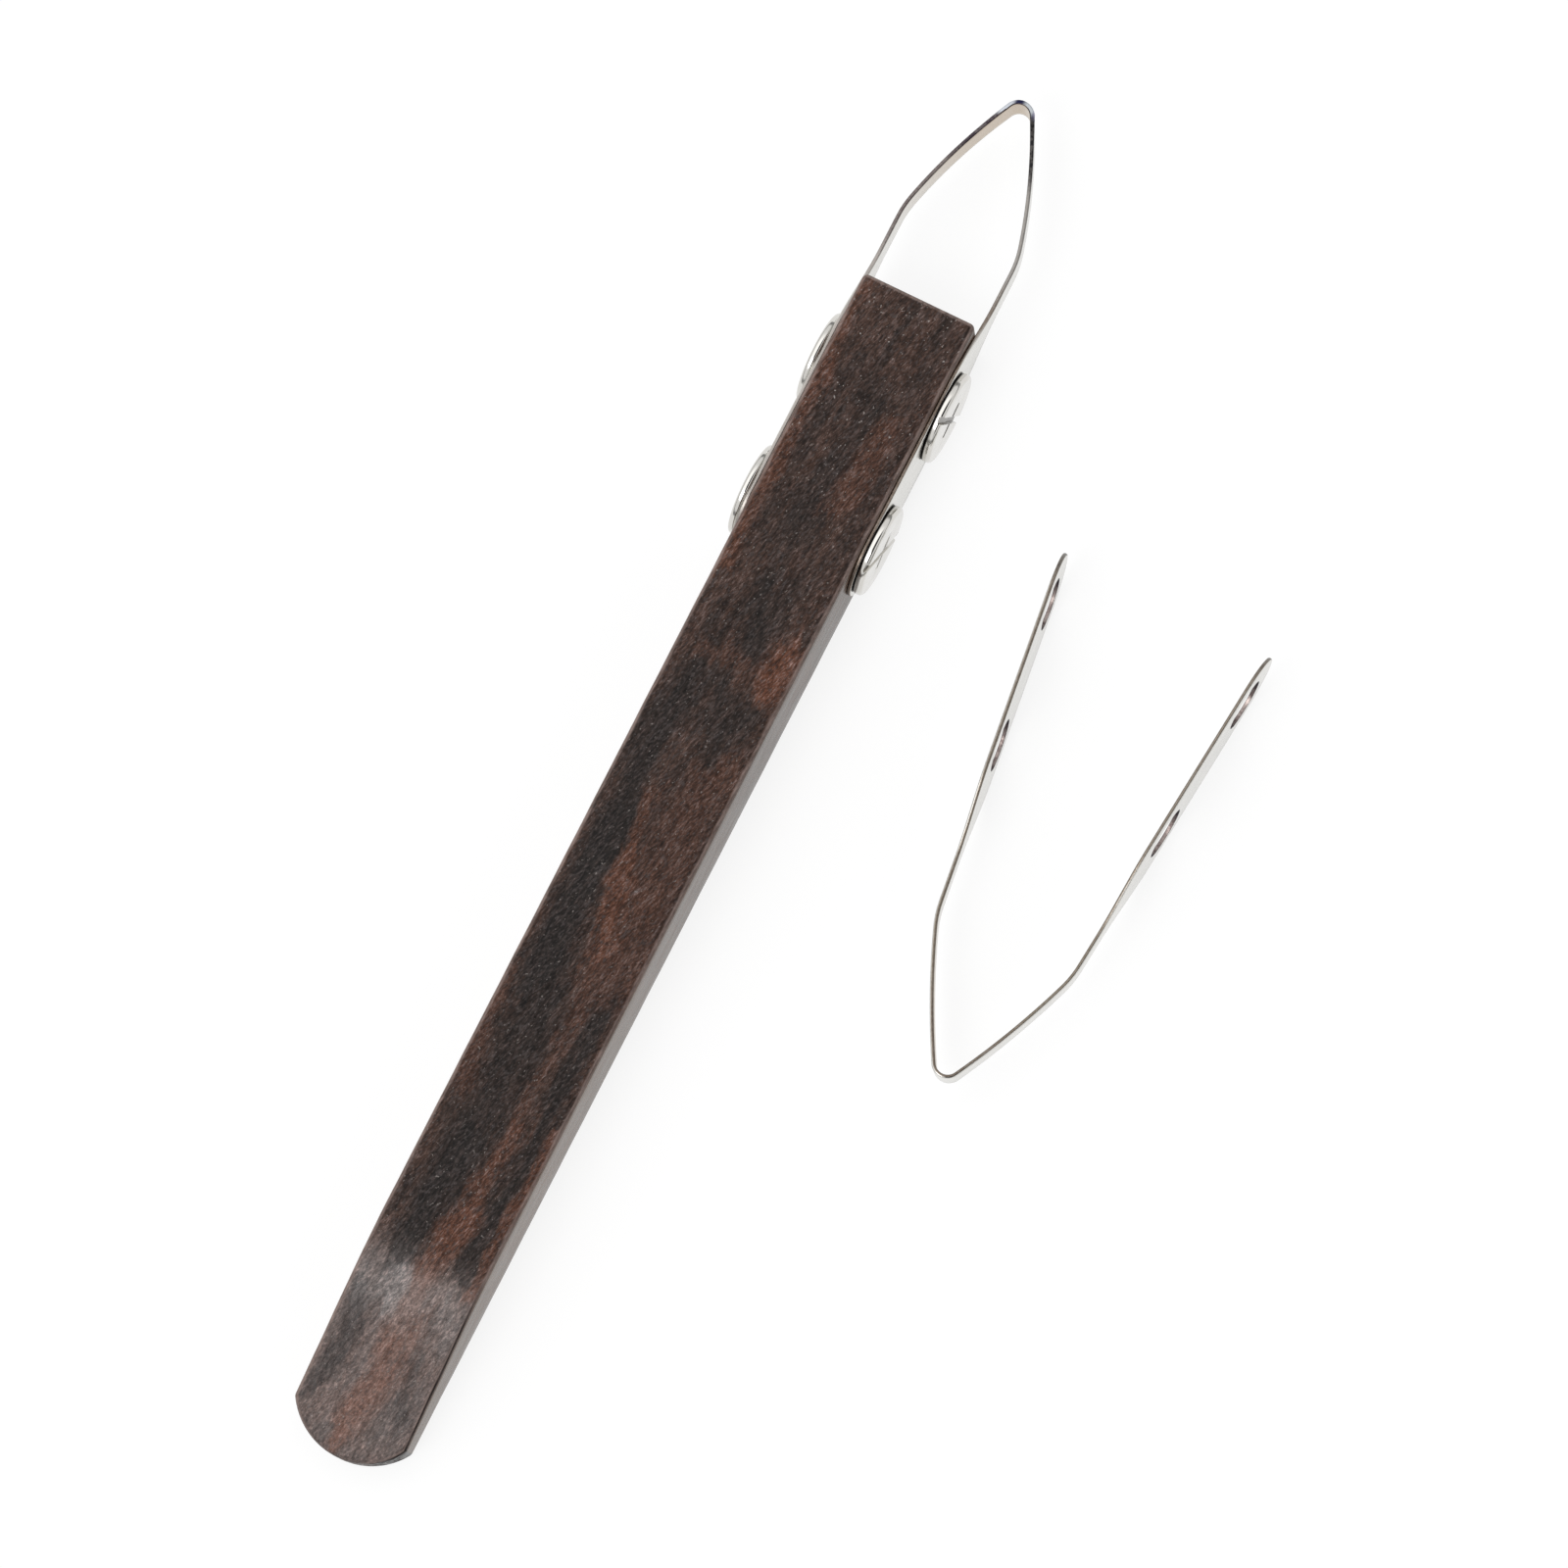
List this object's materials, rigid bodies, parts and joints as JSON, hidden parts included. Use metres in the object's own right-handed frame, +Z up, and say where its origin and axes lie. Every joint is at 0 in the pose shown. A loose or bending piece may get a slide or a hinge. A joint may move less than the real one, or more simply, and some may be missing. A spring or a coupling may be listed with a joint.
{
  "type": "pottery trimming tool",
  "caption": "Wooden-handled pottery trimming tool: a pointed loop of steel strip clamped to the handle's sides by binding posts with slotted screws, and a spare strip beside it.",
  "frame": {"origin": "middle of the handle's flat underside", "axes": "+Y along the handle towards the blade's crown, +Z up out of the handle's top face, +X towards the side with the slotted screws"},
  "size_m": [0.0543, 0.1508, 0.0107],
  "materials": {
    "handle": "satin",
    "spring_steel": "bright",
    "plated_hardware": "polished"
  },
  "bodies": {
    "tool": {"handle": "handle", "blade": "spring_steel"},
    "post_1": {"post_1": "plated_hardware"},
    "post_2": {"post_2": "plated_hardware"},
    "screw_1": {"screw_1": "plated_hardware"},
    "screw_2": {"screw_2": "plated_hardware"},
    "spare_blade": {"spare_blade": "spring_steel"}
  },
  "joints": [
    {"name": "screw_1_turn", "type": "hinge", "parent": "tool", "child": "screw_1", "pos_m": [0.0066, 0.05505, 0.0053], "axis": [1, 0, 0], "range_deg": [0, 2520]},
    {"name": "screw_2_turn", "type": "hinge", "parent": "tool", "child": "screw_2", "pos_m": [0.0066, 0.04005, 0.0053], "axis": [1, 0, 0], "range_deg": [0, 2520]},
    {"name": "post_1_slide", "type": "slide", "parent": "tool", "child": "post_1", "axis": [-1, 0, 0], "range_m": [0, 0.0049]},
    {"name": "post_2_slide", "type": "slide", "parent": "tool", "child": "post_2", "axis": [-1, 0, 0], "range_m": [0, 0.0049]},
    {"name": "spare_blade_lift", "type": "slide", "parent": "tool", "child": "spare_blade", "axis": [0, 0, 1], "range_m": [0, 0.05]}
  ],
  "couplings": [
    {"joint": "screw_1_turn", "follows": "post_1_slide", "rad_per_m": 8976},
    {"joint": "screw_2_turn", "follows": "post_2_slide", "rad_per_m": 8976}
  ]
}
